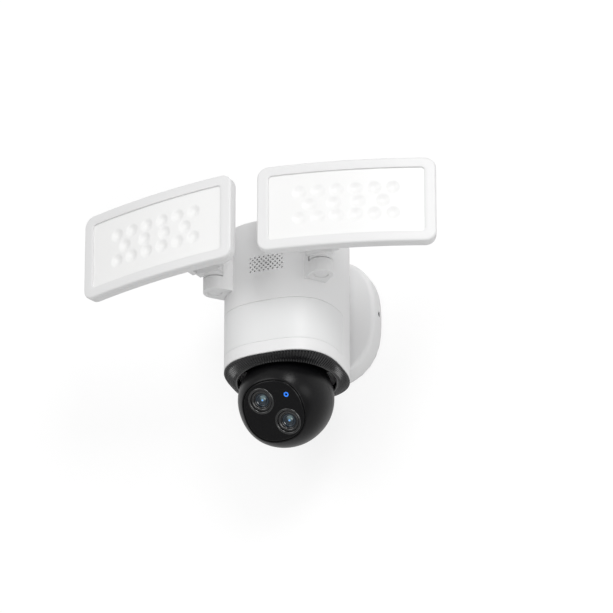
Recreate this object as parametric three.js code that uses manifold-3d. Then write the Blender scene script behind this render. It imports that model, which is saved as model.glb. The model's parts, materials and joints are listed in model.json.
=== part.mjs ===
// A wall-mounted security camera with two swivelling flood lamps and a pan and tilt ball.
// Millimetres, +Z up, -Y out of the wall. The origin is the middle of the wall plate's back face.
import * as THREE from "three";
import { mergeVertices } from "three/addons/utils/BufferGeometryUtils.js";
import Module from "manifold-3d";

const wasm = await Module();
wasm.setup();

// Driving dimensions
const fit = 0.3; // gap between pieces that touch
const boltRadius = 1.6; // small machine screws

const baseHalfWidth = 62.3;
const baseHalfHeight = 60.5;
const baseDepth = 20.4; // from the wall to the front of the base cover
const baseExponent = 2.65; // squareness of the base outline
const baseRounding = 4; // rounding of the base cover's front edge
const coverWall = 2.4;
const gasketThickness = 1.7;
const gasketBand = 6.2; // width of the foam seal
const plateThickness = 2;
const setScrewHeight = 3.5;
const setScrewFromWall = 8;
const wireHoleHeight = -24; // middle of the wire hole in the wall plate
const slotSpread = 33; // wall plate slots from the middle
const bodyScrewReach = 32; // body screws above and below the middle
const ballRadius = 41.7;
const mouthGap = 1.6; // gap between the ball and the trim's mouth
const trimBand = 8.6; // from the trim's mouth to the body's side

const bodyExponent = 2.73; // squareness of the body column
const bodyTop = 54.1;
const bodyBottom = -76.7;
const bodyWall = 3;
const bodyRounding = 2;
const neckHalfWidth = 30; // block that joins the body to the base
const neckHalfHeight = 44;
const inletRadius = 9; // wire passage from the base into the body

const windowRise = 11.2; // window band's lower edge above the body's
const windowHeight = 39.8;
const windowThickness = 1.2;
const sensorRadius = 6;

const grilleHeight = 10.5; // middle of the speaker grille
const grilleColumns = 15;
const grilleColumnPitch = 2.1;
const grilleRowPitch = 4.3;
const grilleHoleRadius = 0.75;
const speakerRadius = 15;

const ringDepth = 6.3; // conical trim below the body
const ringRise = 7; // spigot of the trim inside the body

const ballDrop = 21.4; // ball centre below the body's lower edge
const ballWall = 2.5;
const ballSides = 36; // points round the front shell and the face plate
const faceInset = 14.1; // from the ball's side to the face plate opening
const rimWidth = 0.8; // lip around the face plate
const faceExponent = 2.3;
const faceCut = 7.5; // from the full sphere back to the flat face
const facePlateThickness = 2.4;
const plateProud = 0.4; // face plate's front in front of the shell's
const restPan = -5; // degrees, towards the viewer's left
const restTilt = 41.5; // degrees below the horizon
const tiltDown = 43.5; // further downward travel from rest
const lensPlaces = { upper: [-8.6, 11], lower: [10.2, -11.4] };
const ledPlace = [15.8, 12.3];
const lensBezelRadius = 11.9;
const lensGlassRadius = 6.1;
const ledRadius = 2.2;

const deckGap = 2; // pan deck above the top of the ball
const deckThickness = 2;
const bearingRadius = 11.7;
const stemRadius = 6;
const axleRadius = 3;
const axleEnd = 5.2; // from the ball's side to the end of the axle
const bossDepth = 5.5; // how far the axle's bosses stand in beyond its ends
const barrelBack = 17; // back of the lens barrels from the ball centre
const motorRadius = 16;
const motorHeight = 18;

const armAngle = 43.5; // degrees from the X axis towards the front
const armStandOff = 0.98; // between the body's corner and the turret's post
const armHalfWidth = 10.4;
const armBottom = -8.1;
const armTop = 4.1;
const armBack = 24; // height of the arm behind the turret
const tongueWidth = 13;
const tongueHeight = 14;
const capRadius = 6.1;
const swivelBoltRadius = 3;
const boltRise = 12.3; // end of the swivel bolt above the arm's shelf

const lampYaw = 13.25; // degrees outward at rest
const lampHalfWidth = 78.5;
const lampHalfHeight = 40.5;
const lampThickness = 12;
const lampBend = 568; // radius of the lamp's curved front
const lampCorner = 10;
const lampForward = 54; // swivel axis to the lamp's front
const lampInboard = 50.1; // swivel axis to the lamp's inner edge
const lampDrop = 6.4; // lamp's lower edge below the body's middle
const lampWall = 2.2;
const bezelSide = 10.3;
const bezelEdge = 9.5;
const bezelDepth = 4;
const diffuserRecess = 1.4;
const boardThickness = 1.6;
const ledPitch = 16.3;
const ledMiddlePitch = 21.3;
const ledRowPitch = 12.5;

const bracketCheek = 5;
const bracketGap = 1.55; // between the turret's post and the bracket
const bracketBack = 9.6; // swivel axis to the bracket's back
const bracketBottom = 9.7;
const bracketTop = 37;
const pinForward = 18.3;
const pinHeight = 21.9;
const pinRadius = 2.5;
const eyeRadius = 8.6; // round end of the turret's tongue

// Places worked out from the driving dimensions
const mouthRadius = ballRadius + mouthGap;
const bodyHalfWidth = mouthRadius + trimBand;
const bodyAxis = -(baseDepth + fit + bodyHalfWidth);
const windowBottom = bodyBottom + windowRise;
const windowTop = windowBottom + windowHeight;
const faceHalf = ballRadius - faceInset;
const faceHeight = ballRadius - faceCut;
const plateSeat = faceHeight + plateProud - facePlateThickness;
const axleHalf = ballRadius - axleEnd;
const lampAcross = lampHalfWidth - lampInboard;
const lampHeight = lampHalfHeight - lampDrop;
const bracketSlot = armHalfWidth + bracketGap;
const bracketHalfWidth = bracketSlot + bracketCheek;
const ballHeight = bodyBottom - ballDrop;
const deckTop = ballHeight + ballRadius + deckGap + deckThickness;
const innerHalf = bodyHalfWidth - bodyWall;
const armTurn = THREE.MathUtils.degToRad(armAngle);
const armReach = bodyHalfWidth * outlineReach(armTurn, bodyExponent) + armHalfWidth + armStandOff;
const pivotX = armReach * Math.cos(armTurn);
const pivotY = bodyAxis - armReach * Math.sin(armTurn);

const finishes = {
  white: new THREE.MeshStandardMaterial({ color: 0xe9e9e9, roughness: 0.45 }),
  window: new THREE.MeshStandardMaterial({ color: 0xf2f2f2, roughness: 0.35 }),
  diffuser: new THREE.MeshStandardMaterial({ color: 0xf8f8f6, roughness: 0.3 }),
  black: new THREE.MeshStandardMaterial({ color: 0x17181a, roughness: 0.35 }),
  gloss: new THREE.MeshStandardMaterial({ color: 0x0a0a0b, roughness: 0.1 }),
  glass: new THREE.MeshStandardMaterial({ color: 0x1c2c38, roughness: 0.05 }),
  blue: new THREE.MeshStandardMaterial({ color: 0x2b7fe0, emissive: 0x1a5fd0 }),
  rubber: new THREE.MeshStandardMaterial({ color: 0x2a2a2b, roughness: 0.9 }),
  steel: new THREE.MeshStandardMaterial({ color: 0xb9bcc0, roughness: 0.35, metalness: 1 }),
  board: new THREE.MeshStandardMaterial({ color: 0x1d5a36, roughness: 0.5 }),
};

// Joining and cutting
function solid(geometry) {
  const bare = geometry.index ? geometry.toNonIndexed() : geometry.clone();
  bare.deleteAttribute("normal");
  bare.deleteAttribute("uv");
  const merged = mergeVertices(bare, 1e-4);
  const vertProperties = new Float32Array(merged.attributes.position.array);
  const triVerts = new Uint32Array(merged.index.array);
  return new wasm.Manifold(new wasm.Mesh({ numProp: 3, vertProperties, triVerts }));
}

function piece(name, shape, finish, parent) {
  const made = shape.getMesh();
  const geometry = new THREE.BufferGeometry();
  geometry.setAttribute("position", new THREE.BufferAttribute(made.vertProperties, 3));
  geometry.setIndex(new THREE.BufferAttribute(made.triVerts, 1));
  geometry.computeVertexNormals();
  const mesh = new THREE.Mesh(geometry, finishes[finish]);
  mesh.name = name;
  parent.add(mesh);
}

// Turns a geometry by Euler angles in degrees, then moves it.
function placed(geometry, [x, y, z], [rx, ry, rz] = [0, 0, 0]) {
  const turn = new THREE.Euler(...[rx, ry, rz].map(THREE.MathUtils.degToRad), "ZYX");
  geometry.applyMatrix4(new THREE.Matrix4().makeRotationFromEuler(turn));
  return solid(geometry.translate(x, y, z));
}

// A box given by its low and high corners.
function block([x0, y0, z0], [x1, y1, z1]) {
  const box = new THREE.BoxGeometry(x1 - x0, y1 - y0, z1 - z0);
  return placed(box, [(x0 + x1) / 2, (y0 + y1) / 2, (z0 + z1) / 2]);
}

// A round bar from one end to the other along an axis: "x", "y" or "z".
function bar(axis, radius, [x, y, z], length, sides = 16) {
  const turn = { x: [0, 0, -90], y: [0, 0, 0], z: [90, 0, 0] }[axis];
  const reach = { x: [1, 0, 0], y: [0, 1, 0], z: [0, 0, 1] }[axis];
  const middle = [x, y, z].map((at, i) => at + (reach[i] * length) / 2);
  return placed(new THREE.CylinderGeometry(radius, radius, length, sides), middle, turn);
}

// How far |x|^n + |y|^n = 1 reaches from its middle in one direction.
function outlineReach(turn, exponent) {
  return (Math.abs(Math.cos(turn)) ** exponent + Math.abs(Math.sin(turn)) ** exponent) ** (-1 / exponent);
}

// Points of |x/a|^n + |y/b|^n = 1.
function squircle(a, b, exponent, count = 40) {
  const points = [];
  for (let i = 0; i < count; i++) {
    const turn = (2 * Math.PI * (i + 0.5)) / count;
    const reach = outlineReach(turn, exponent);
    points.push(new THREE.Vector2(a * reach * Math.cos(turn), b * reach * Math.sin(turn)));
  }
  return points;
}

function prism(outline, depth, options = {}) {
  const shape = outline instanceof THREE.Shape ? outline : new THREE.Shape(outline);
  return new THREE.ExtrudeGeometry(shape, { depth, bevelEnabled: false, ...options });
}

// A slab standing on the wall plane: its outline in X and Z, from `back` to `front` along -Y.
function wallSlab(a, b, back, front) {
  return placed(prism(squircle(a, b, baseExponent), front - back), [0, -back, 0], [90, 0, 0]);
}

// A column on the body's axis with the body's outline.
function column(half, bottom, top) {
  return placed(prism(squircle(half, half, bodyExponent), top - bottom), [0, bodyAxis, bottom]);
}

// Joins closed loops of equal length, one after the other and the last to the first.
function loft(loops) {
  const count = loops[0].length;
  const index = [];
  for (let k = 0; k < loops.length; k++) {
    const next = ((k + 1) % loops.length) * count;
    for (let i = 0; i < count; i++) {
      const j = (i + 1) % count;
      index.push(k * count + i, k * count + j, next + j);
      index.push(k * count + i, next + j, next + i);
    }
  }
  const geometry = new THREE.BufferGeometry();
  geometry.setAttribute("position", new THREE.Float32BufferAttribute(loops.flat(2), 3));
  geometry.setIndex(index);
  return geometry;
}

function lathe(profile, sides = 20) {
  const points = profile.map(([r, h]) => new THREE.Vector2(r, h));
  return new THREE.LatheGeometry(points, sides);
}

const product = new THREE.Group();

// Wall side: seal, steel plate with bent ears, terminal block and the cover with its set screws
function wallMount() {
  const sealHalf = [baseHalfWidth - 0.8, baseHalfHeight - 0.8];
  const sealHole = sealHalf.map((half) => half - gasketBand);
  const seal = wallSlab(...sealHalf, 0, gasketThickness);
  piece("wall_gasket", seal.subtract(wallSlab(...sealHole, -1, gasketThickness + 1)), "rubber", product);

  const plateHalf = sealHole.map((half) => half - fit);
  const wireHole = bar("y", inletRadius, [0, -plateThickness - 1, wireHoleHeight], plateThickness + 2);
  let plate = wallSlab(...plateHalf, 0, plateThickness).subtract(wireHole);
  for (const side of [-1, 1]) {
    const middle = side * slotSpread;
    const slot = block([middle - 6, -plateThickness - 1, -2.4], [middle + 6, 1, 2.4]);
    const outside = side * (plateHalf[0] - 1);
    const ear = block(
      [Math.min(outside, outside - side * 2), -setScrewFromWall - 4, setScrewHeight - 7],
      [Math.max(outside, outside - side * 2), -plateThickness / 2, setScrewHeight + 7],
    );
    plate = plate.subtract(slot).add(ear);
  }
  piece("wall_plate", plate, "steel", product);

  const terminals = block([-15, -plateThickness - fit - 11, 16], [15, -plateThickness - fit, 28]);
  const wireWay = block([-12, -plateThickness - 8, 24], [12, -plateThickness - 5, 29]);
  piece("terminal_block", terminals.subtract(wireWay), "white", product);
}

function baseCover() {
  const shoulder = squircle(baseHalfWidth - baseRounding, baseHalfHeight - baseRounding, baseExponent);
  const bevel = { bevelEnabled: true, bevelThickness: baseRounding, bevelSize: baseRounding };
  const depth = baseDepth - baseRounding;
  const rounded = prism(shoulder, depth, { ...bevel, bevelSegments: 2 });
  const rim = gasketThickness + fit;
  const inside = [baseHalfWidth - coverWall, baseHalfHeight - coverWall];
  let cover = placed(rounded, [0, 0, 0], [90, 0, 0])
    .intersect(block([-200, -200, -200], [200, -rim, 200]))
    .subtract(wallSlab(...inside, -1, baseDepth - coverWall))
    .subtract(bar("y", inletRadius, [0, -baseDepth - 1, 0], baseDepth));
  for (const side of [-1, 1]) {
    const from = side * (baseHalfWidth - coverWall - 1) - (side < 0 ? coverWall + 2 : 0);
    const start = [from, -setScrewFromWall, setScrewHeight];
    const screwHole = bar("x", boltRadius + fit, start, coverWall + 2, 16);
    const bodyHole = bar("y", 2 * boltRadius, [0, -baseDepth - 1, side * bodyScrewReach], baseDepth, 16);
    cover = cover.subtract(screwHole).subtract(bodyHole);
  }
  piece("base_cover", cover, "white", product);
  for (const [name, side] of [["left", -1], ["right", 1]]) {
    const length = coverWall + 4;
    const from = side > 0 ? baseHalfWidth - length - 0.4 : -baseHalfWidth + 0.4;
    const screw = bar("x", boltRadius, [from, -setScrewFromWall, setScrewHeight], length, 16);
    piece("base_set_screw_" + name, screw, "steel", product);
  }
}

// Body column: shell with its neck, grille and windows
function grilleHoles(shell) {
  const front = bodyAxis - bodyHalfWidth - 1;
  for (let i = 0; i < grilleColumns; i++) {
    const rows = i % 2 ? 3 : 4;
    for (let j = 0; j < rows; j++) {
      const x = (i - (grilleColumns - 1) / 2) * grilleColumnPitch;
      const z = grilleHeight + (j - (rows - 1) / 2) * grilleRowPitch;
      shell = shell.subtract(bar("y", grilleHoleRadius, [x, front, z], bodyWall + 3, 6));
    }
  }
  return shell;
}

function frontHalf(shape) {
  return shape.intersect(block([-200, -300, -200], [200, bodyAxis, 200]));
}

// Window in the shell for an arm's tongue.
function armOpening(side) {
  const half = tongueWidth / 2 + fit;
  const opening = new THREE.BoxGeometry(60, 2 * half, tongueHeight + 2 * fit);
  opening.translate(bodyHalfWidth, 0, tongueHeight / 2);
  return placed(opening, [0, bodyAxis, 0], [0, 0, side > 0 ? -armAngle : armAngle - 180]);
}

function bodyShell() {
  const shoulder = squircle(bodyHalfWidth - bodyRounding, bodyHalfWidth - bodyRounding, bodyExponent);
  const bevel = { bevelEnabled: true, bevelThickness: bodyRounding, bevelSize: bodyRounding };
  const rounded = prism(shoulder, bodyTop - bodyBottom - bodyRounding, { ...bevel, bevelSegments: 2 });
  const back = -baseDepth - fit;
  let shell = placed(rounded, [0, bodyAxis, bodyBottom])
    .intersect(block([-200, -300, bodyBottom], [200, 0, 200]))
    .add(block([-neckHalfWidth, back - 8, -neckHalfHeight], [neckHalfWidth, back, neckHalfHeight]))
    .subtract(column(innerHalf, bodyBottom - 9, bodyTop - bodyWall))
    .subtract(bar("y", inletRadius, [0, back - 12, 0], 14));
  for (const side of [-1, 1]) {
    shell = shell.subtract(armOpening(side));
    shell = shell.subtract(bar("y", boltRadius + fit, [0, back - 12, side * bodyScrewReach], 14, 12));
  }
  const grooveDepth = windowThickness + fit;
  const groove = column(bodyHalfWidth + 5, windowBottom, windowTop).subtract(
    column(bodyHalfWidth - grooveDepth, windowBottom - 1, windowTop + 1),
  );
  const sensorWindow = bar("y", sensorRadius + 1, [0, bodyAxis - bodyHalfWidth - 1, sensorHeight()], 6);
  shell = grilleHoles(shell.subtract(frontHalf(groove)).subtract(sensorWindow));
  piece("body_shell", shell, "white", product);

  const pane = column(bodyHalfWidth, windowBottom + fit, windowTop - fit).subtract(
    column(bodyHalfWidth - windowThickness, windowBottom - 1, windowTop + 1),
  );
  const cut = block([-200, -300, -200], [200, bodyAxis - fit, 200]);
  piece("pir_window", pane.intersect(cut), "window", product);
}

function sensorHeight() {
  return (deckTop + windowTop) / 2;
}

// What the body holds: screws, gland, chassis with boards, speaker and motion sensor
function bodyInside() {
  const back = -baseDepth - fit;
  for (const [name, side] of [["upper", 1], ["lower", -1]]) {
    const head = bar("y", 2 * boltRadius, [0, -baseDepth + coverWall + fit, side * bodyScrewReach], 2.4, 16);
    const shank = bar("y", boltRadius, [0, back - 8, side * bodyScrewReach], 8 + fit + coverWall + 1, 12);
    piece("body_screw_" + name, head.add(shank), "steel", product);
  }
  const lip = inletRadius + 2;
  const sleeve = inletRadius - fit;
  const gland = lathe([[4.5, 0], [sleeve, 0], [sleeve, 9], [lip, 9], [lip, 11], [4.5, 11], [4.5, 0]]);
  piece("cable_gland", placed(gland, [0, back + coverWall + 3 * fit - 9, 0]), "rubber", product);

  const cornerTurn = THREE.MathUtils.degToRad(54.3); // way to the power board's rear corner
  const corner = innerHalf * outlineReach(cornerTurn, bodyExponent) - 0.1;
  const plateY = bodyAxis + corner * Math.sin(cornerTurn) - 13.1; // chassis plate behind the pan motor
  const half = corner * Math.cos(cornerTurn) + 6;
  let chassis = block([-half, plateY, deckTop + fit], [half, plateY + 2, bodyTop - bodyWall - 3]);
  const mainBoard = { front: plateY - 6, low: deckTop + 8.4, high: bodyTop - 16.1 };
  const powerBoard = { front: plateY + 7, low: deckTop + 12.4, high: bodyTop - 20.1 };
  for (const x of [7 - half, half - 7]) {
    for (const z of [powerBoard.low + 4, powerBoard.high - 4]) {
      chassis = chassis
        .add(bar("y", 2.5, [x, mainBoard.front + boardThickness + fit, z], 5, 12))
        .add(bar("y", 2.5, [x, plateY + 1, z], powerBoard.front - plateY - 1 - fit, 12));
    }
  }
  piece("chassis_plate", chassis, "steel", product);

  const board = ({ front, low, high }) =>
    block([2 - half, front, low], [half - 2, front + boardThickness, high]);
  const chips = block([-12, mainBoard.front - 2, 4], [10, mainBoard.front + 0.5, 24])
    .add(block([16, mainBoard.front - 1.5, 10], [28, mainBoard.front + 0.5, 20]));
  piece("main_board", board(mainBoard).add(chips), "board", product);
  const behind = powerBoard.front + boardThickness - 0.5;
  const low = powerBoard.low + 10;
  const transformer = block([half - 24, behind, low], [half - 6, behind + 4.5, low + 18]);
  const capacitor = bar("y", 5, [15 - half, behind, powerBoard.high - 14], 5);
  piece("power_board", board(powerBoard).add(transformer).add(capacitor), "board", product);

  const speakerFront = bodyAxis - innerHalf + fit + 1.2;
  const magnet = bar("y", speakerRadius * 0.55, [0, speakerFront + 4, grilleHeight], 6);
  const basket = bar("y", speakerRadius, [0, speakerFront, grilleHeight], 4.5);
  piece("speaker", basket.add(magnet), "black", product);

  const eyeFront = bodyAxis - bodyHalfWidth + windowThickness + 2 * fit;
  const eye = bar("y", sensorRadius, [0, eyeFront, sensorHeight()], bodyWall + 2);
  const eyeBack = speakerFront + 0.4;
  const eyeBoard = block(
    [-14, eyeBack, sensorHeight() - 9],
    [14, eyeBack + boardThickness, sensorHeight() + 9],
  );
  piece("motion_sensor", eye.add(eyeBoard), "board", product);
}

// Pan drive: deck across the body, bearing, motor and the ribbed trim around the ball
function panDrive() {
  const deckBottom = deckTop - deckThickness;
  const hole = bar("z", bearingRadius + fit, [0, bodyAxis, deckBottom - 1], deckThickness + 2);
  piece("pan_deck", column(innerHalf - fit, deckBottom, deckTop).subtract(hole), "black", product);

  const bore = stemRadius + 2 + fit;
  const flange = bearingRadius + 2;
  const bearing = lathe([
    [bore, 0],
    [bearingRadius, 0],
    [bearingRadius, deckThickness + fit],
    [flange, deckThickness + fit],
    [flange, deckThickness + fit + 1.5],
    [bore, deckThickness + fit + 1.5],
    [bore, 0],
  ]);
  piece("pan_bearing", placed(bearing, [0, bodyAxis, deckBottom], [90, 0, 0]), "steel", product);

  const motorBottom = deckTop + 10;
  const shaftHole = bar("z", 4 + fit, [0, bodyAxis, deckTop], 60);
  let motor = bar("z", motorRadius, [0, bodyAxis, motorBottom], motorHeight, 20);
  for (const side of [-1, 1]) {
    const inner = side * (motorRadius - 4);
    const outer = side * (motorRadius + 6);
    const ear = block(
      [Math.min(inner, outer), bodyAxis - 5, motorBottom],
      [Math.max(inner, outer), bodyAxis + 5, motorBottom + 2],
    );
    const footStart = [side * (motorRadius + 2.5), bodyAxis, deckTop + fit];
    const foot = bar("z", 3.5, footStart, motorBottom - deckTop, 12);
    motor = motor.add(ear).add(foot);
  }
  piece("pan_motor", motor.subtract(shaftHole), "steel", product);

  const level = (points, z) => points.map((p) => [p.x, p.y + bodyAxis, z]);
  const square = (half) => squircle(half, half, bodyExponent, 48);
  const round = (radius) => squircle(radius, radius, 2, 48);
  const seat = bodyBottom - fit;
  const bottom = seat - ringDepth;
  const trim = loft([
    level(square(bodyHalfWidth), seat),
    level(square(innerHalf - fit), seat),
    level(square(innerHalf - fit), seat + ringRise),
    level(square(innerHalf - bodyWall), seat + ringRise),
    level(square(innerHalf - bodyWall), seat + 1),
    level(round(mouthRadius), bottom + 1.8),
    level(round(mouthRadius), bottom),
    level(round(mouthRadius + 1), bottom + 0.2),
  ]);
  piece("bottom_ring", solid(trim), "black", product);
}

// One arm, drawn along +X from the body's axis and turned into place
function arm(side) {
  const name = side.userData.name;
  const turned = new THREE.Group();
  turned.position.set(0, bodyAxis, 0);
  turned.rotation.z = -armTurn;
  side.add(turned);
  const inside = innerHalf - 4;
  const beam = (low, high) => block([inside, -armHalfWidth, low], [armReach, armHalfWidth, high]);
  const round = (radius, low, high) => bar("z", radius, [armReach, 0, low], high - low, 24);
  const body = placed(
    prism(squircle(bodyHalfWidth + fit, bodyHalfWidth + fit, bodyExponent), 200),
    [0, 0, -100],
    [0, 0, armAngle],
  );
  const lower = beam(armBottom, armTop).add(round(armHalfWidth, armBottom, armTop));
  const postSpace = round(armHalfWidth + 2 * fit, armTop, armBack + 1);
  const upper = beam(armTop - 1, armBack).subtract(postSpace);
  const tongueEnd = armReach - armHalfWidth - 1;
  const tongueRoot = innerHalf + 1;
  const tongue = block([tongueRoot, -tongueWidth / 2, 0], [tongueEnd, tongueWidth / 2, tongueHeight])
    .add(block([tongueRoot, -tongueWidth / 2, 0], [tongueEnd + 4, tongueWidth / 2, armTop - 0.5]));
  const boltHole = bar("z", swivelBoltRadius + fit, [armReach, 0, armBottom - 1], 40);
  const capSeat = round(capRadius + fit, armBottom - 1, armBottom + 5);
  const screwHole = bar("x", boltRadius + fit, [0, 0, tongueHeight / 2], armReach - armHalfWidth, 12);
  const shape = lower.add(upper).subtract(body).add(tongue);
  piece("arm_" + name, shape.subtract(boltHole).subtract(capSeat).subtract(screwHole), "white", turned);
  piece("arm_cap_" + name, round(capRadius, armBottom + 0.4, armBottom + 1.9), "white", turned);
  const head = bar("x", 2 * boltRadius, [innerHalf - 2, 0, tongueHeight / 2], 2.6, 16);
  const shank = bar("x", boltRadius, [innerHalf, 0, tongueHeight / 2], 8, 12);
  piece("arm_screw_" + name, head.add(shank), "steel", turned);
}

// Everything that swivels on the arm, drawn with the lamp facing -Y and the swivel axis on Z
function turret(lamp, name) {
  const bottom = armTop + 1.1;
  const reach = pinForward;
  const tongueHalf = bracketSlot - fit;
  const post = bar("z", armHalfWidth, [0, 0, bottom], armBack + 6 - bottom, 24);
  const tongueTop = pinHeight + eyeRadius - 0.5;
  const tongue = block([-tongueHalf, -reach, pinHeight - eyeRadius], [tongueHalf, -5.5, tongueTop]);
  const chin = block([-tongueHalf, -bracketBack - 2, bottom + 2.6], [tongueHalf, -5.5, pinHeight]);
  const eye = bar("x", eyeRadius, [-tongueHalf, -reach, pinHeight], 2 * tongueHalf, 20);
  const pinHole = bar("x", pinRadius + fit, [-30, -reach, pinHeight], 60, 20);
  const boltHole = bar("z", swivelBoltRadius + fit, [0, 0, 0], armTop + boltRise + 1.6);
  const shape = post.add(tongue).add(chin).add(eye).subtract(pinHole).subtract(boltHole);
  piece("turret_" + name, shape, "white", lamp);
  const washer = bar("z", 8, [0, 0, armTop + fit], 0.5).subtract(boltHole);
  piece("swivel_washer_" + name, washer, "steel", lamp);
  const head = bar("z", 5, [0, 0, armBottom + 2.2], 2.5);
  const shankBottom = armBottom + 4;
  const shank = bar("z", swivelBoltRadius, [0, 0, shankBottom], armTop + boltRise - shankBottom);
  piece("swivel_bolt_" + name, head.add(shank), "steel", lamp);
}

// A slab of the curved lamp between two depths behind its front, with a rounded outline
function lampSlab(halfWidth, halfHeight, corner, near, far) {
  const steps = 8;
  const outline = [];
  const swing = Math.asin((lampHalfWidth + 4) / (lampBend - lampThickness));
  for (const [depth, way] of [[near, 1], [far, -1]]) {
    for (let i = 0; i <= steps; i++) {
      const turn = way * swing * (1 - (2 * i) / steps);
      const radius = lampBend - depth;
      const along = lampAcross + radius * Math.sin(turn);
      outline.push(new THREE.Vector2(along, lampBend - lampForward - radius * Math.cos(turn)));
    }
  }
  const tall = 2 * lampHalfHeight + 20;
  const slab = placed(prism(outline, tall), [0, 0, lampHeight - tall / 2]);
  const mask = prism(roundedRectangle(halfWidth, halfHeight, corner), 60, { curveSegments: 3 });
  return slab.intersect(placed(mask, [lampAcross, 0, lampHeight], [90, 0, 0]));
}

function roundedRectangle(a, b, r) {
  const shape = new THREE.Shape();
  shape.moveTo(a, b - r);
  shape.absarc(a - r, b - r, r, 0, Math.PI / 2);
  shape.absarc(r - a, b - r, r, Math.PI / 2, Math.PI);
  shape.absarc(r - a, r - b, r, Math.PI, 1.5 * Math.PI);
  shape.absarc(a - r, r - b, r, 1.5 * Math.PI, 2 * Math.PI);
  return shape;
}

function lampPanel(lamp, name) {
  const slab = (inset, near, far, corner = Math.max(lampCorner - inset, 1)) =>
    lampSlab(lampHalfWidth - inset, lampHalfHeight - inset, corner, near, far);
  const opening = (gap, near, far) =>
    lampSlab(lampHalfWidth - bezelSide - gap, lampHalfHeight - bezelEdge - gap, 3, near, far);
  const floorDepth = lampThickness - 2;
  const tray = slab(0, bezelDepth + fit, lampThickness).subtract(slab(lampWall, bezelDepth - 1, floorDepth));
  piece("lamp_housing_" + name, tray, "white", lamp);
  const frame = slab(0, 0, bezelDepth).subtract(opening(0, -2, bezelDepth + 2));
  piece("lamp_bezel_" + name, frame, "white", lamp);
  const flange = opening(-3, bezelDepth + fit, bezelDepth + 1.5);
  piece("diffuser_" + name, opening(fit, diffuserRecess, bezelDepth + 1).add(flange), "diffuser", lamp);
  const board = slab(lampWall + fit, floorDepth - fit - 1.2, floorDepth - fit);
  piece("led_board_" + name, leds(board, floorDepth - fit - 1.2), "board", lamp);
}

// Three rows of light packages standing on the board: six, four and six.
function leds(board, boardFront) {
  for (const [row, count, pitch] of [[1, 6, ledPitch], [0, 4, ledMiddlePitch], [-1, 6, ledPitch]]) {
    for (let i = 0; i < count; i++) {
      const along = (i - (count - 1) / 2) * pitch;
      const sag = lampBend - Math.sqrt(lampBend ** 2 - along ** 2);
      const front = boardFront - lampForward + sag;
      const height = lampHeight + row * ledRowPitch;
      const [left, low] = [lampAcross + along - 2.5, height - 2.5];
      board = board.add(block([left, front - 0.8, low], [left + 5, front + 0.6, low + 5]));
    }
  }
  return board;
}

function bracket(lamp, name) {
  const outer = bracketHalfWidth;
  const back = lampSlab(lampHalfWidth, lampHalfHeight, lampCorner, -3, lampThickness + fit);
  const reach = lampForward - lampThickness + 2;
  const clearance = pinForward + eyeRadius + 1;
  const shape = block([-outer, -reach, bracketBottom], [outer, -bracketBack, bracketTop])
    .subtract(block([-bracketSlot, -clearance, bracketBottom - 1], [bracketSlot, 0, bracketTop + 1]))
    .subtract(back)
    .subtract(bar("x", pinRadius + fit, [-30, -pinForward, pinHeight], 60, 20));
  piece("lamp_bracket_" + name, shape, "white", lamp);
  const length = 2 * outer - 1;
  const pin = bar("x", pinRadius, [-length / 2, -pinForward, pinHeight], length, 20);
  piece("tilt_pin_" + name, pin, "steel", lamp);
}

function lampSide(name, mirror) {
  const side = new THREE.Group();
  side.userData.name = name;
  side.scale.x = mirror;
  product.add(side);
  arm(side);
  const lamp = new THREE.Group();
  lamp.position.set(pivotX, pivotY, 0);
  lamp.rotation.z = THREE.MathUtils.degToRad(lampYaw);
  side.add(lamp);
  turret(lamp, name);
  lampPanel(lamp, name);
  bracket(lamp, name);
}

// Loops of the ball's front shell, from its equator to the rim of the face plate opening.
// Along the way the radius follows (r/R)^m + (h/H)^m = 1 and the round loop turns square.
function shoulderLoops(radius, height, steps) {
  const loops = [];
  const rim = faceHalf + rimWidth;
  const endTurn = Math.acos((rim / ballRadius) ** (faceExponent / 2));
  for (let k = 0; k <= steps; k++) {
    const turn = (endTurn * k) / steps;
    const out = radius * Math.cos(turn) ** (2 / faceExponent);
    const up = height * Math.sin(turn) ** (2 / faceExponent);
    const round = squircle(out, out, 2, ballSides);
    const square = squircle(out, out, faceExponent, ballSides);
    const share = (k / steps) ** 2;
    loops.push(round.map((p, i) => {
      const mixed = p.clone().lerp(square[i], share);
      return [mixed.x, -up - 0.15, mixed.y];
    }));
  }
  return loops;
}

// The slot that lets the stem reach the ball's centre at every tilt
function stemSlot() {
  const reach = ballRadius + 18.3;
  const outline = [new THREE.Vector2(0, 0)];
  const [low, high] = [-9, 9 + restTilt + tiltDown];
  for (let k = 0; k <= 10; k++) {
    const turn = THREE.MathUtils.degToRad(low + ((high - low) * k) / 10);
    outline.push(new THREE.Vector2(reach * Math.sin(turn), reach * Math.cos(turn)));
  }
  const width = 2 * (stemRadius + 1);
  return placed(prism(outline.reverse(), width), [-width / 2, 0, 0], [90, 0, 90]);
}

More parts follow.
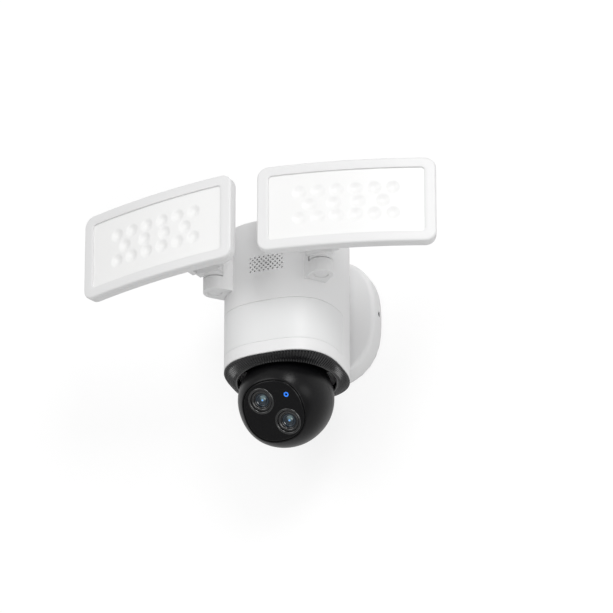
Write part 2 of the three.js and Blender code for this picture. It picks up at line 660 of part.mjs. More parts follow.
function ballShells(ball) {
  const rimTurn = Math.acos(((faceHalf + rimWidth) / ballRadius) ** (faceExponent / 2));
  const fullHeight = faceHeight / Math.sin(rimTurn) ** (2 / faceExponent);
  const outer = shoulderLoops(ballRadius, fullHeight, 5);
  const ledge = plateSeat - fit;
  const inner = shoulderLoops(ballRadius - ballWall, (fullHeight * ledge) / faceHeight, 5);
  const opening = squircle(faceHalf, faceHalf, faceExponent, ballSides);
  const mouth = (depth) => opening.map((p) => [p.x, -depth, p.y]);
  const lip = [mouth(faceHeight), mouth(ledge)];
  const front = solid(loft([...outer, ...lip, ...inner.reverse()]));
  const slot = stemSlot();
  piece("ball_front_shell", front.subtract(slot), "black", ball);

  const dome = (radius) => placed(new THREE.SphereGeometry(radius, 28, 16), [0, 0, 0], [90, 0, 0]);
  const half = block([-90, 0.15, -90], [90, 90, 90]);
  const shell = dome(ballRadius).subtract(dome(ballRadius - ballWall)).intersect(half);
  const bossReach = dome(ballRadius - ballWall / 2).intersect(half).add(dome(ballRadius - ballWall - 1.2));
  let bosses = bar("x", axleRadius + 3, [-ballRadius, 0, 0], 2 * ballRadius).intersect(bossReach);
  const bossFace = axleHalf - bossDepth;
  bosses = bosses.subtract(block([-bossFace, -20, -20], [bossFace, 20, 20]));
  const boreHalf = axleHalf + 0.5;
  const bore = bar("x", axleRadius + fit, [-boreHalf, 0, 0], 2 * boreHalf);
  piece("ball_rear_shell", shell.add(bosses).subtract(slot).subtract(bore), "black", ball);
  piece("tilt_axle", bar("x", axleRadius, [-axleHalf, 0, 0], 2 * axleHalf), "steel", ball);
}

// Turns a shape drawn round Z into the face's frame: +Z becomes the way the ball looks.
function onFace(geometry, [across, up], depth) {
  return placed(geometry, [across, -depth, up], [90, 0, 0]);
}

function faceParts(ball) {
  const plateOutline = squircle(faceHalf - fit, faceHalf - fit, faceExponent, ballSides);
  let plate = onFace(prism(plateOutline, facePlateThickness), [0, 0], plateSeat);
  for (const [name, place] of Object.entries(lensPlaces)) {
    const [x, z] = place;
    plate = plate.subtract(bar("y", lensBezelRadius + fit, [x, -plateSeat - 9, z], 20, 20));
    const low = plateSeat - 0.4;
    const glassSeat = lensGlassRadius + fit;
    const bezel = placed(
      lathe([
        [glassSeat, -low],
        [glassSeat, -low - 1.4],
        [lensBezelRadius - 2.6, -faceHeight],
        [lensBezelRadius - 1.6, -faceHeight - 1.4],
        [lensBezelRadius - 0.6, -faceHeight - 1.4],
        [lensBezelRadius, -faceHeight - 0.8],
        [lensBezelRadius, -low],
        [glassSeat, -low],
      ]),
      [x, 0, z],
    );
    piece("lens_bezel_" + name, bezel, "gloss", ball);
    const dome = lathe([
      [0, -low - 2.2],
      [lensGlassRadius - 3.6, -low - 1.9],
      [lensGlassRadius - 1.6, -low - 1.2],
      [lensGlassRadius, -low],
      [0, -low],
    ]);
    piece("lens_glass_" + name, placed(dome, [x, 0, z]), "glass", ball);
    const barrel = bar("y", 7.5, [x, -low + fit, z], low - fit - barrelBack);
    piece("lens_barrel_" + name, barrel, "black", ball);
  }
  const ledHole = bar("y", ledRadius + fit, [ledPlace[0], -faceHeight - 3, ledPlace[1]], 9, 16);
  piece("face_plate", plate.subtract(ledHole), "gloss", ball);
  const led = bar("y", ledRadius, [ledPlace[0], -faceHeight - 0.4, ledPlace[1]], 4, 16);
  piece("status_led", led, "blue", ball);
  const boardFront = barrelBack - fit;
  const outline = squircle(20, 20, faceExponent, 32);
  const board = onFace(prism(outline, boardThickness), [0, 0], boardFront - boardThickness);
  piece("image_board", board, "board", ball);
}

// Stem from the pan motor down to the tilt axle, with the tilt motor on its side
function cameraHead() {
  const turning = new THREE.Group();
  turning.position.set(0, bodyAxis, ballHeight);
  turning.rotation.z = THREE.MathUtils.degToRad(restPan);
  product.add(turning);
  const lift = -ballHeight; // from the row's height to the ball's centre
  const flangeBottom = deckTop + fit + 1.5 + fit + lift;
  const journal = stemRadius + 2;
  const neckBottom = deckTop - deckThickness - 1 + lift;
  let stem = bar("z", stemRadius, [0, 0, 0], neckBottom + 1)
    .add(bar("z", journal, [0, 0, neckBottom], flangeBottom + 1 - neckBottom))
    .add(bar("z", bearingRadius + 1, [0, 0, flangeBottom], 3))
    .add(bar("z", 4, [0, 0, flangeBottom], 28))
    .add(bar("x", 8, [-stemRadius, 0, 0], 2 * stemRadius));
  stem = stem.subtract(bar("x", axleRadius + fit, [-20, 0, 0], 40));
  piece("pan_stem", stem, "black", turning);
  const tiltMotor = bar("x", 11, [stemRadius + fit, 0, 0], 17);
  const axleBore = bar("x", axleRadius + fit, [0, 0, 0], 40);
  piece("tilt_motor", tiltMotor.subtract(axleBore), "steel", turning);

  const ball = new THREE.Group();
  ball.rotation.x = THREE.MathUtils.degToRad(restTilt);
  turning.add(ball);
  ballShells(ball);
  faceParts(ball);
}

wallMount();
baseCover();
bodyShell();
bodyInside();
panDrive();
lampSide("right", 1);
lampSide("left", -1);
cameraHead();

export default product;
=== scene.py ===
import json
import math

import bmesh
import bpy
import numpy as np
from mathutils import Matrix, Vector


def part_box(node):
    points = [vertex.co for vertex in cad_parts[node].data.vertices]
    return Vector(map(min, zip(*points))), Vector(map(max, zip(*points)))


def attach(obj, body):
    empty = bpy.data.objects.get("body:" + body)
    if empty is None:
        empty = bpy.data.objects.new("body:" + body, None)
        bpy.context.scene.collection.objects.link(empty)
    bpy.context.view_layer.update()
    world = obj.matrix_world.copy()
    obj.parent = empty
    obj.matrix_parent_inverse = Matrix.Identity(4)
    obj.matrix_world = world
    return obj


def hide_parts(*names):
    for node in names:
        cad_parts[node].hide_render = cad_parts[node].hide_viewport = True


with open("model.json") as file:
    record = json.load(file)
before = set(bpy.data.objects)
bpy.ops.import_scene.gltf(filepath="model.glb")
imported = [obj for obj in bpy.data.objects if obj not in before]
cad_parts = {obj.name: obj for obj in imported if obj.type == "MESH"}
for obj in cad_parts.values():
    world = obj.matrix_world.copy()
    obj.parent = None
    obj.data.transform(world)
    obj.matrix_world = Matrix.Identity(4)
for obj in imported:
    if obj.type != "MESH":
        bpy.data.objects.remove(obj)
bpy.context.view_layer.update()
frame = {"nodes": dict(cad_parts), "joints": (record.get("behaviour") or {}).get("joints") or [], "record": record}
joints = {joint["name"]: joint for joint in frame["joints"]}
print("frame loaded:", len(frame["nodes"]), "nodes")

mm = 0.001


# ---- shapes from arrays


def newPiece(name, points, faces, smoothAngle=35):
    # merges doubles and turns the faces outwards, so seams and poles are closed
    mesh = bpy.data.meshes.new(name)
    mesh.from_pydata(points.tolist(), [], faces)
    work = bmesh.new()
    work.from_mesh(mesh)
    bmesh.ops.remove_doubles(work, verts=work.verts, dist=1e-6)
    bmesh.ops.recalc_face_normals(work, faces=work.faces)
    work.to_mesh(mesh)
    work.free()
    piece = bpy.data.objects.new(name, mesh)
    bpy.context.scene.collection.objects.link(piece)
    mesh.shade_smooth()
    mesh.set_sharp_from_angle(angle=math.radians(smoothAngle))
    return piece


def gridFaces(rows, columns, wrapRows=False):
    # quads between neighbouring rings; each ring closes on itself
    ringA, spot = np.meshgrid(np.arange(rows if wrapRows else rows - 1), np.arange(columns), indexing="ij")
    ringB = (ringA + 1) % rows
    beside = (spot + 1) % columns
    here, there = ringA * columns, ringB * columns
    quads = [here + spot, here + beside, there + beside, there + spot]
    return np.stack(quads, -1).reshape(-1, 4).tolist()


def ringPiece(name, rings, wrapRows=False, smoothAngle=35):
    # rings: (rows, columns, 3); an open run of rings gets a flat cap or a pole at each end
    rows, columns = rings.shape[:2]
    faces = gridFaces(rows, columns, wrapRows)
    if not wrapRows:
        faces.append(list(range(columns)))
        faces.append(list(range((rows - 1) * columns, rows * columns)))
    return newPiece(name, rings.reshape(-1, 3), faces, smoothAngle)


def squareRing(halfA, halfB, exponent, turns):
    # |x/a|^n + |y/b|^n = 1 at the given turns
    c, s = np.cos(turns), np.sin(turns)
    reach = (np.abs(c) ** exponent + np.abs(s) ** exponent) ** (-1 / exponent)
    return halfA * reach * c, halfB * reach * s


def fullTurn(columns):
    # evenly spaced turns round a circle, the last one short of the first
    return np.linspace(0, 2 * np.pi, columns, endpoint=False)


def quarterRound(radius, steps, start=np.pi / 2):
    # (inset, drop) pairs from a wall to a flat: inset r (1 - sin t) grows while drop r (1 - cos t) falls to 0
    return [(radius * (1 - math.sin(t)), radius * (1 - math.cos(t))) for t in np.linspace(start, 0, steps)]


def flatRing(radius, depth, columns):
    # a circle about the Y axis at one depth
    turns = fullTurn(columns)
    return np.stack([radius * np.cos(turns), np.full_like(turns, depth), radius * np.sin(turns)], -1)


def turnedPiece(name, profile, place, columns=96, smoothAngle=35):
    # profile: (radius, depth) pairs turned about the Y axis; place puts the rings into the frame
    rings = np.array([flatRing(radius, depth, columns) for radius, depth in profile])
    return ringPiece(name, place(rings), smoothAngle=smoothAngle)


def cut(piece, tools):
    # cuts each tool out of the piece with a boolean, then throws the tool away
    for tool in tools:
        change = piece.modifiers.new("cut", "BOOLEAN")
        change.operation = "DIFFERENCE"
        change.solver = "EXACT"
        change.object = tool
    graph = bpy.context.evaluated_depsgraph_get()
    made = bpy.data.meshes.new_from_object(piece.evaluated_get(graph))
    piece.modifiers.clear()
    piece.data = made
    made.set_sharp_from_angle(angle=math.radians(35))
    for tool in tools:
        bpy.data.objects.remove(tool)


def drillTool(place, turn, radius, depth, columns):
    # a round cutter, turned from upright
    bpy.ops.mesh.primitive_cylinder_add(vertices=columns, radius=radius, depth=depth, location=place,
                                        rotation=turn)
    return bpy.context.active_object


soft = {"flat": math.radians(1.5), "corner": math.radians(32), "smooth": math.radians(40)}


def softened(node, width, name=None, segments=3):
    # a merged copy of a node's solid with its sharp edges rounded
    work = bmesh.new()
    work.from_mesh(frame["nodes"][node].data)
    bmesh.ops.remove_doubles(work, verts=work.verts, dist=1e-6)
    bmesh.ops.dissolve_limit(work, angle_limit=soft["flat"], verts=work.verts, edges=work.edges)
    mesh = bpy.data.meshes.new(name or node + "_soft")
    work.to_mesh(mesh)
    work.free()
    piece = bpy.data.objects.new(name or node + "_soft", mesh)
    bpy.context.scene.collection.objects.link(piece)
    bevel = piece.modifiers.new("rounding", "BEVEL")
    bevel.width = width
    bevel.segments = segments
    bevel.limit_method = "ANGLE"
    bevel.angle_limit = soft["corner"]
    mesh.shade_smooth()
    graph = bpy.context.evaluated_depsgraph_get()
    made = bpy.data.meshes.new_from_object(piece.evaluated_get(graph))
    piece.modifiers.clear()
    piece.data = made
    made.shade_smooth()
    made.set_sharp_from_angle(angle=soft["smooth"])
    return piece


# ---- materials


def grainGroup():
    # fine moulded grain: two sizes of noise, out as a height and a small change of roughness
    group = bpy.data.node_groups.new("mouldedGrain", "ShaderNodeTree")
    face = group.interface
    for label, value in (("Grain Size", 1500.0), ("Roughness", 0.4), ("Spread", 0.06)):
        face.new_socket(label, in_out="INPUT", socket_type="NodeSocketFloat").default_value = value
    for label in ("Height", "Roughness"):
        face.new_socket(label, in_out="OUTPUT", socket_type="NodeSocketFloat")
    nodes, links = group.nodes, group.links
    entry, leave = nodes.new("NodeGroupInput"), nodes.new("NodeGroupOutput")
    where = nodes.new("ShaderNodeTexCoord")
    fine, broad = nodes.new("ShaderNodeTexNoise"), nodes.new("ShaderNodeTexNoise")
    fine.inputs["Detail"].default_value = 3
    broad.inputs["Scale"].default_value = 45
    spread = nodes.new("ShaderNodeMath")
    spread.operation = "MULTIPLY_ADD"
    centred = nodes.new("ShaderNodeMath")
    centred.operation = "SUBTRACT"
    centred.inputs[1].default_value = 0.5
    links.new(where.outputs["Object"], fine.inputs["Vector"])
    links.new(where.outputs["Object"], broad.inputs["Vector"])
    links.new(entry.outputs["Grain Size"], fine.inputs["Scale"])
    links.new(broad.outputs[0], centred.inputs[0])
    links.new(centred.outputs[0], spread.inputs[0])
    links.new(entry.outputs["Spread"], spread.inputs[1])
    links.new(entry.outputs["Roughness"], spread.inputs[2])
    links.new(fine.outputs[0], leave.inputs["Height"])
    links.new(spread.outputs[0], leave.inputs["Roughness"])
    return group


def toneGroup():
    # a slow drift between two close tones, as in a large moulding
    group = bpy.data.node_groups.new("toneDrift", "ShaderNodeTree")
    face = group.interface
    for label in ("Light", "Dark"):
        face.new_socket(label, in_out="INPUT", socket_type="NodeSocketColor")
    face.new_socket("Scale", in_out="INPUT", socket_type="NodeSocketFloat").default_value = 12.0
    face.new_socket("Color", in_out="OUTPUT", socket_type="NodeSocketColor")
    nodes, links = group.nodes, group.links
    entry, leave = nodes.new("NodeGroupInput"), nodes.new("NodeGroupOutput")
    where, noise = nodes.new("ShaderNodeTexCoord"), nodes.new("ShaderNodeTexNoise")
    mix = nodes.new("ShaderNodeMix")
    mix.data_type = "RGBA"
    links.new(where.outputs["Object"], noise.inputs["Vector"])
    links.new(entry.outputs["Scale"], noise.inputs["Scale"])
    links.new(noise.outputs[0], mix.inputs["Factor"])
    links.new(entry.outputs["Light"], mix.inputs["A"])
    links.new(entry.outputs["Dark"], mix.inputs["B"])
    links.new(mix.outputs["Result"], leave.inputs["Color"])
    return group


def paintedReflectionGroup():
    # how strongly a painted reflection shows on a lens: full within the inner radius of either place and nothing
    # beyond the outer
    group = bpy.data.node_groups.new("lensCoating", "ShaderNodeTree")
    face = group.interface
    for label in ("First", "Second"):
        face.new_socket(label, in_out="INPUT", socket_type="NodeSocketVector")
    for label in ("Inner", "Outer"):
        face.new_socket(label, in_out="INPUT", socket_type="NodeSocketFloat")
    face.new_socket("Glow", in_out="OUTPUT", socket_type="NodeSocketFloat")
    nodes, links = group.nodes, group.links
    entry, leave = nodes.new("NodeGroupInput"), nodes.new("NodeGroupOutput")
    where = nodes.new("ShaderNodeTexCoord")
    nearest, fade = nodes.new("ShaderNodeMath"), nodes.new("ShaderNodeMapRange")
    nearest.operation = "MINIMUM"
    for k, label in enumerate(("First", "Second")):
        away = nodes.new("ShaderNodeVectorMath")
        away.operation = "DISTANCE"
        links.new(where.outputs["Object"], away.inputs[0])
        links.new(entry.outputs[label], away.inputs[1])
        links.new(away.outputs["Value"], nearest.inputs[k])
    links.new(nearest.outputs[0], fade.inputs["Value"])
    links.new(entry.outputs["Inner"], fade.inputs["From Min"])
    links.new(entry.outputs["Outer"], fade.inputs["From Max"])
    fade.inputs["To Min"].default_value = 1.0
    fade.inputs["To Max"].default_value = 0.0
    links.new(fade.outputs["Result"], leave.inputs["Glow"])
    return group


# the third group masks where painted reflections glow on the lens glass
groups = {"grain": grainGroup(), "tone": toneGroup(), "coating": paintedReflectionGroup()}


def finish(name, light, dark, roughness, grain=1500, bump=0.02, spread=0.05, fixed=None):
    # a moulded finish: drifting tone, grain in the roughness and a fine bump; fixed holds plain socket values
    material = bpy.data.materials.new(name)
    material.use_nodes = True
    nodes, links = material.node_tree.nodes, material.node_tree.links
    shader = nodes["Principled BSDF"]
    tone, grit = nodes.new("ShaderNodeGroup"), nodes.new("ShaderNodeGroup")
    relief = nodes.new("ShaderNodeBump")
    tone.node_tree, grit.node_tree = groups["tone"], groups["grain"]
    tone.inputs["Light"].default_value = (*light, 1)
    tone.inputs["Dark"].default_value = (*dark, 1)
    grit.inputs["Grain Size"].default_value = grain
    grit.inputs["Roughness"].default_value = roughness
    grit.inputs["Spread"].default_value = spread
    relief.inputs["Strength"].default_value = bump
    relief.inputs["Distance"].default_value = 0.0005
    links.new(tone.outputs["Color"], shader.inputs["Base Color"])
    links.new(grit.outputs["Roughness"], shader.inputs["Roughness"])
    links.new(grit.outputs["Height"], relief.inputs["Height"])
    links.new(relief.outputs["Normal"], shader.inputs["Normal"])
    for socket, value in (fixed or {}).items():
        shader.inputs[socket].default_value = value
    return material


finishes = {
    "whiteShell": finish("whiteShell", (0.82, 0.82, 0.82), (0.80, 0.80, 0.803), 0.42, 1800, 0.08),
    "lampShell": finish("lampShell", (0.82, 0.82, 0.82), (0.80, 0.80, 0.803), 0.38, 1800, 0.06),
    "sensorPane": finish("sensorPane", (0.80, 0.803, 0.803), (0.785, 0.79, 0.79), 0.42, 900, 0.03, 0.04),
    "frostedPane": finish("frostedPane", (0.88, 0.88, 0.875), (0.86, 0.86, 0.855), 0.32, 700, 0.05, 0.06,
                          {"Emission Color": (1, 1, 1, 1), "Emission Strength": 0.04}),
    "trimBlack": finish("trimBlack", (0.008, 0.008, 0.009), (0.006, 0.006, 0.007), 0.26, 1600, 0.03, 0.05,
                        {"Specular IOR Level": 0.7}),
    "ballBlack": finish("ballBlack", (0.0035, 0.0035, 0.004), (0.0025, 0.0025, 0.003), 0.3, 1800, 0.03, 0.05,
                        {"Specular IOR Level": 0.24}),
    "faceBlack": finish("faceBlack", (0.004, 0.004, 0.0045), (0.003, 0.003, 0.0035), 0.2, 2200, 0.01, 0.02,
                        {"Specular IOR Level": 0.3}),
    "bezelBlack": finish("bezelBlack", (0.005, 0.005, 0.0055), (0.004, 0.004, 0.0045), 0.22, 1500, 0.01, 0.04,
                         {"Specular IOR Level": 1.0}),
    "lensGlass": finish("lensGlass", (0.010, 0.030, 0.045), (0.004, 0.010, 0.022), 0.04, 600, 0.0, 0.01,
                        {"Coat Weight": 1.0, "Coat Roughness": 0.02}),
    "statusBlue": finish("statusBlue", (0.02, 0.20, 0.85), (0.02, 0.16, 0.75), 0.3, 900, 0.02, 0.03,
                         {"Emission Color": (0.03, 0.25, 1.0, 1), "Emission Strength": 0.5}),
    "foam": finish("foam", (0.55, 0.55, 0.55), (0.48, 0.48, 0.48), 0.85, 500, 0.4, 0.1),
    "zincSteel": finish("zincSteel", (0.60, 0.60, 0.58), (0.50, 0.50, 0.49), 0.35, 400, 0.06, 0.15,
                        {"Metallic": 1.0}),
    "blackSteel": finish("blackSteel", (0.05, 0.05, 0.055), (0.03, 0.03, 0.033), 0.4, 400, 0.1, 0.1,
                         {"Metallic": 1.0}),
    "boardGreen": finish("boardGreen", (0.02, 0.13, 0.05), (0.015, 0.10, 0.04), 0.35, 800, 0.1, 0.1),
}


def dress(piece, material):
    piece.data.materials.clear()
    piece.data.materials.append(finishes[material])


def settle(piece, carrier, material, slot, *nodes):
    # dresses a finished piece, sets what it rides on and hides the nodes it stands for
    dress(piece, material)
    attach(piece, carrier)
    if nodes:
        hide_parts(*nodes)


# the finish that each material slot's nodes wear
nodeFinishes = {"steel": "zincSteel", "circuit_board": "boardGreen", "foam_rubber": "foam",
                "trim_plastic": "trimBlack", "white_plastic": "whiteShell", "ball_plastic": "ballBlack",
                "face_plastic": "faceBlack", "lens_glass": "lensGlass", "diffuser_plastic": "frostedPane",
                "window_plastic": "sensorPane", "status_light": "statusBlue"}
for part in frame["record"]["subparts"]:
    dress(frame["nodes"][part["node"]], nodeFinishes[part["material_slot"]])
print("materials made:", len(finishes))


# ---- places taken from the frame

bodyLow, bodyHigh = (np.array(v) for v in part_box("body_shell"))
baseLow, baseHigh = (np.array(v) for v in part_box("base_cover"))
ringLow, ringHigh = (np.array(v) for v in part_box("bottom_ring"))
windowLow, windowHigh = (np.array(v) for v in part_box("pir_window"))
ballCentre = np.array(joints["camera_tilt"]["pos_m"])
bodyHalf = (bodyHigh[0] - bodyLow[0]) / 2


# ---- wall base

base = {"exponent": 2.65, "edge": 4.2 * mm, "wall": 2.4 * mm, "rimRound": 0.6 * mm, "columns": 192,
        "frontRings": (14 * mm, 28 * mm, 44 * mm), "core": 0.98, "screwRadius": 2.5 * mm,
        "screwDepth": 8 * mm, "wireHole": 9 * mm, "wireHoleDepth": 10 * mm}


def baseTools(halfA, front):
    # cutters for the two set screws' holes and the wires' hole in the middle of the front
    screwLow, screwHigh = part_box("base_set_screw_right")
    y, z = (screwLow[1] + screwHigh[1]) / 2, (screwLow[2] + screwHigh[2]) / 2
    tools = [drillTool((side * halfA, y, z), (0, math.pi / 2, 0), base["screwRadius"], base["screwDepth"], 32)
             for side in (-1, 1)]
    tools.append(drillTool((0, front, 0), (math.pi / 2, 0, 0), base["wireHole"], base["wireHoleDepth"], 48))
    return tools


def baseCover():
    # rings of the squarish outline, inset as the profile says:
    # inner floor, inner wall, rim, side, round edge, front
    halfA, halfB = (baseHigh[0] - baseLow[0]) / 2, (baseHigh[2] - baseLow[2]) / 2
    back, front, wall, edge = baseHigh[1], baseLow[1], base["wall"], base["edge"]
    turns = fullTurn(base["columns"])
    rim = base["rimRound"]
    core = base["core"] * min(halfA, halfB)
    profile = [(core, front + wall), (wall, front + wall), (wall, back - rim), (wall - rim, back),
               (rim, back), (0.2 * rim, back - 0.4 * rim), (0, back - rim)]
    profile += [(inset, front + drop) for inset, drop in quarterRound(edge, 9)]
    profile += [(inset, front) for inset in (edge + 0.5 * mm, *base["frontRings"], core)]
    rings = []
    for inset, y in profile:
        x, z = squareRing(halfA - inset, halfB - inset, base["exponent"], turns)
        rings.append(np.stack([x, np.full_like(x, y), z], -1))
    piece = ringPiece("baseCoverShell", np.array(rings), smoothAngle=30)
    cut(piece, baseTools(halfA, front))
    settle(piece, "housing", "whiteShell", "white_plastic", "base_cover")
    seal = softened("wall_gasket", 0.25 * mm, "wallSeal", 2)
    settle(seal, "housing", "foam", "foam_rubber", "wall_gasket")
    for side in ("left", "right"):
        screw = softened("base_set_screw_" + side, 0.2 * mm, "setScrew_" + side, 2)
        settle(screw, "housing", "blackSteel", "steel", "base_set_screw_" + side)


baseCover()
print("wall base made")


# ---- body column

body = {"exponent": 2.73, "wall": 3 * mm, "edge": 2.6 * mm, "columns": 288, "lip": 0.5 * mm,
        "groove": 1.5 * mm, "seam": 0.16 * mm, "paneDepth": 1.2 * mm, "paneEdge": 0.22 * mm,
        "topRings": (12 * mm, 25 * mm, 38 * mm), "core": 0.98}
grille = {"columns": 15, "pitch": 2.1 * mm, "rowPitch": 4.3 * mm, "middle": 10.5 * mm, "hole": 0.78 * mm,
          "grow": 0.3 * mm, "fadeAcross": 8, "fadeUp": 2.2, "facets": 18, "start": 2 * mm, "length": 9 * mm}


def columnRing(inset, z, turns):
    x, y = squareRing(bodyHalf - inset, bodyHalf - inset, body["exponent"], turns)
    return np.stack([x, y + ballCentre[1], np.full_like(x, z)], -1)


def bodyShell():
    # a closed shell: inner ceiling, inner wall, lower lip, outer wall with the pane's groove,
    # round edge, flat top
    turns = fullTurn(body["columns"])
    wall, edge, lip, core = body["wall"], body["edge"], body["lip"], bodyHalf * body["core"]
    low, high = bodyLow[2], bodyHigh[2]
    paneLow, paneHigh = windowLow[2] - body["seam"], windowHigh[2] + body["seam"]
    profile = [(core, high - wall), (wall, high - wall), (wall, low + lip), (wall - lip, low), (lip, low),
               (0, low + lip)]
    first = len(profile)
    walls = np.concatenate([np.linspace(low + 3 * mm, paneLow, 4), [paneLow + 0.05 * mm],
                            np.linspace(paneLow + 1 * mm, paneHigh - 1 * mm, 8), [paneHigh - 0.05 * mm],
                            np.linspace(paneHigh, high - edge, 14)])
    profile += [(0, z) for z in walls]
    profile += [(inset, high - drop) for inset, drop in quarterRound(edge, 8)]
    profile += [(inset, high) for inset in (edge + 0.5 * mm, *body["topRings"], core)]
    rings = np.array([columnRing(inset, z, turns) for inset, z in profile])
    outer = slice(first, first + len(walls))
    inBand = (rings[outer, :, 2] > paneLow + 0.02 * mm) & (rings[outer, :, 2] < paneHigh - 0.02 * mm)
    front = np.sin(turns)[None, :] < -1e-6
    grooved = np.array([columnRing(body["groove"], z, turns) for z in walls])
    rings[outer] = np.where((inBand & front)[..., None], grooved, rings[outer])
    piece = ringPiece("bodyColumn", rings, smoothAngle=30)
    cut(piece, [grilleTool()])
    settle(piece, "housing", "whiteShell", "white_plastic", "body_shell")


def grilleHoles():
    # (x, z, radius) of a staggered field of round holes, a little larger towards the middle
    holes = []
    for i in range(grille["columns"]):
        rows = 3 if i % 2 else 4
        across = i - (grille["columns"] - 1) / 2
        for j in range(rows):
            up = j - (rows - 1) / 2
            away = math.hypot(across / grille["fadeAcross"], up / grille["fadeUp"])
            radius = grille["hole"] + grille["grow"] * max(0, 1 - away)
            holes.append((across * grille["pitch"], up * grille["rowPitch"] + grille["middle"], radius))
    return holes


def grilleTool():
    # one joined cutter with a short round bar for each hole
    facets, front = grille["facets"], bodyLow[1] - grille["start"]
    points, faces = [], []
    turns = fullTurn(facets)
    for x, z, radius in grilleHoles():
        near = len(points) * 2 * facets
        far = near + facets
        bar = [np.stack([x + radius * np.cos(turns), np.full(facets, y), z + radius * np.sin(turns)], -1)
               for y in (front, front + grille["length"])]
        points.append(np.concatenate(bar))
        for k in range(facets):
            beside = (k + 1) % facets
            faces.append([near + k, near + beside, far + beside, far + k])
        faces += [list(range(near, far)), list(range(far, far + facets))]
    return newPiece("grilleTool", np.concatenate(points), faces)


def sensorPane():
    # a bent pane flush in the groove, closed round its own small edges
    turns = np.linspace(np.pi, 2 * np.pi, body["columns"] // 2 + 1)[1:-1]
    depth, edge = body["paneDepth"], body["paneEdge"]
    low, high = windowLow[2], windowHigh[2]
    profile = [(depth, low), (edge, low), (0.3 * edge, low + 0.3 * edge), (0, low + edge)]
    profile += [(0, z) for z in np.linspace(low + 2 * mm, high - 2 * mm, 6)]
    profile += [(0, high - edge), (0.3 * edge, high - 0.3 * edge), (edge, high), (depth, high)]
    strips = np.array([columnRing(inset, z, turns) for inset, z in profile])
    rows, columns = strips.shape[:2]
    faces = []
    for k in range(rows):
        a, b = k * columns, ((k + 1) % rows) * columns
        faces += [[a + i, a + i + 1, b + i + 1, b + i] for i in range(columns - 1)]
    faces += [[k * columns for k in range(rows)], [k * columns + columns - 1 for k in range(rows)]]
    piece = newPiece("sensorPane", strips.reshape(-1, 3), faces, 30)
    settle(piece, "housing", "sensorPane", "window_plastic", "pir_window")


bodyShell()
sensorPane()
print("body column made")


# ---- ribbed trim ring below the column

trim = {"ribs": 126, "perRib": 8, "ribHeight": 0.85 * mm, "ribFlat": 1.6, "bulge": 0.5 * mm,
        "shoulder": 0.9 * mm, "mouth": 43.3 * mm, "spigotInset": 3.3 * mm, "spigotWall": 2.7 * mm}
neck = {"halfWidth": 30 * mm, "halfHeight": 44 * mm, "exponent": 4.5, "edge": 1 * mm, "near": 0.3 * mm,
        "far": 6 * mm, "core": 0.9}


def trimRing():
    # closed loops: outer cone with ribs from the column's outline to the round mouth,
    # mouth wall, inner cone, spigot
    turns = fullTurn(trim["ribs"] * trim["perRib"])
    top, bottom = bodyLow[2] - 0.25 * mm, ringLow[2]
    shoulder = top - trim["shoulder"]
    waves = np.clip(trim["ribFlat"] * np.cos(turns * trim["ribs"]), -1, 1) * 0.5 + 0.5
    mouth = trim["mouth"]
    loops = []

    def loop(share, z, inset=0.0, ribs=0.0, radius=mouth + 1 * mm):
        # share 0 is the column's outline, 1 is the circle of the mouth
        xa, ya = squareRing(bodyHalf - inset, bodyHalf - inset, body["exponent"], turns)
        xb, yb = radius * np.cos(turns), radius * np.sin(turns)
        x, y = xa + (xb - xa) * share, ya + (yb - ya) * share
        sink = ribs * trim["ribHeight"] * (1 - waves)
        inward = 1 - 0.6 * sink / np.hypot(x, y)
        loops.append(np.stack([x * inward, y * inward + ballCentre[1], z + 0.8 * sink], -1))

    loop(0, top, 0.35 * mm)
    loop(0, top - 0.3 * mm, 0.1 * mm)
    loop(0, shoulder)
    for share in np.linspace(0.06, 0.94, 9):
        level = shoulder + (bottom + 0.2 * mm - shoulder) * share - trim["bulge"] * math.sin(math.pi * share)
        loop(share, level, ribs=min(1, 8 * share, 8 * (1 - share)))
    loop(1, bottom + 0.15 * mm)
    loop(1, bottom, radius=mouth + 0.5 * mm)
    loop(1, bottom + 0.4 * mm, radius=mouth)
    loop(1, bottom + 2 * mm, radius=mouth)
    loop(0, top + 1.2 * mm, trim["spigotInset"] + trim["spigotWall"])
    loop(0, ringHigh[2], trim["spigotInset"] + trim["spigotWall"])
    loop(0, ringHigh[2], trim["spigotInset"])
    loop(0, top, trim["spigotInset"])
    piece = ringPiece("ribbedTrim", np.array(loops), wrapRows=True, smoothAngle=50)
    settle(piece, "housing", "trimBlack", "trim_plastic", "bottom_ring")


def bodyNeck():
    # the block between the column's back and the base cover, with a rounded outline
    turns = fullTurn(96)
    halfA, halfB, edge = neck["halfWidth"], neck["halfHeight"], neck["edge"]
    core = halfA * neck["core"]
    near, far = baseLow[1] - neck["near"], baseLow[1] - neck["far"]
    profile = [(core, near), (edge, near), (0.3 * edge, near - 0.3 * edge), (0, near - edge), (0, far),
               (core, far)]
    rings = []
    for inset, y in profile:
        x, z = squareRing(halfA - inset, halfB - inset, neck["exponent"], turns)
        rings.append(np.stack([x, np.full_like(x, y), z], -1))
    settle(ringPiece("bodyNeck", np.array(rings)), "housing", "whiteShell", "white_plastic")


trimRing()
bodyNeck()
print("trim ring and neck made")


# ---- camera ball

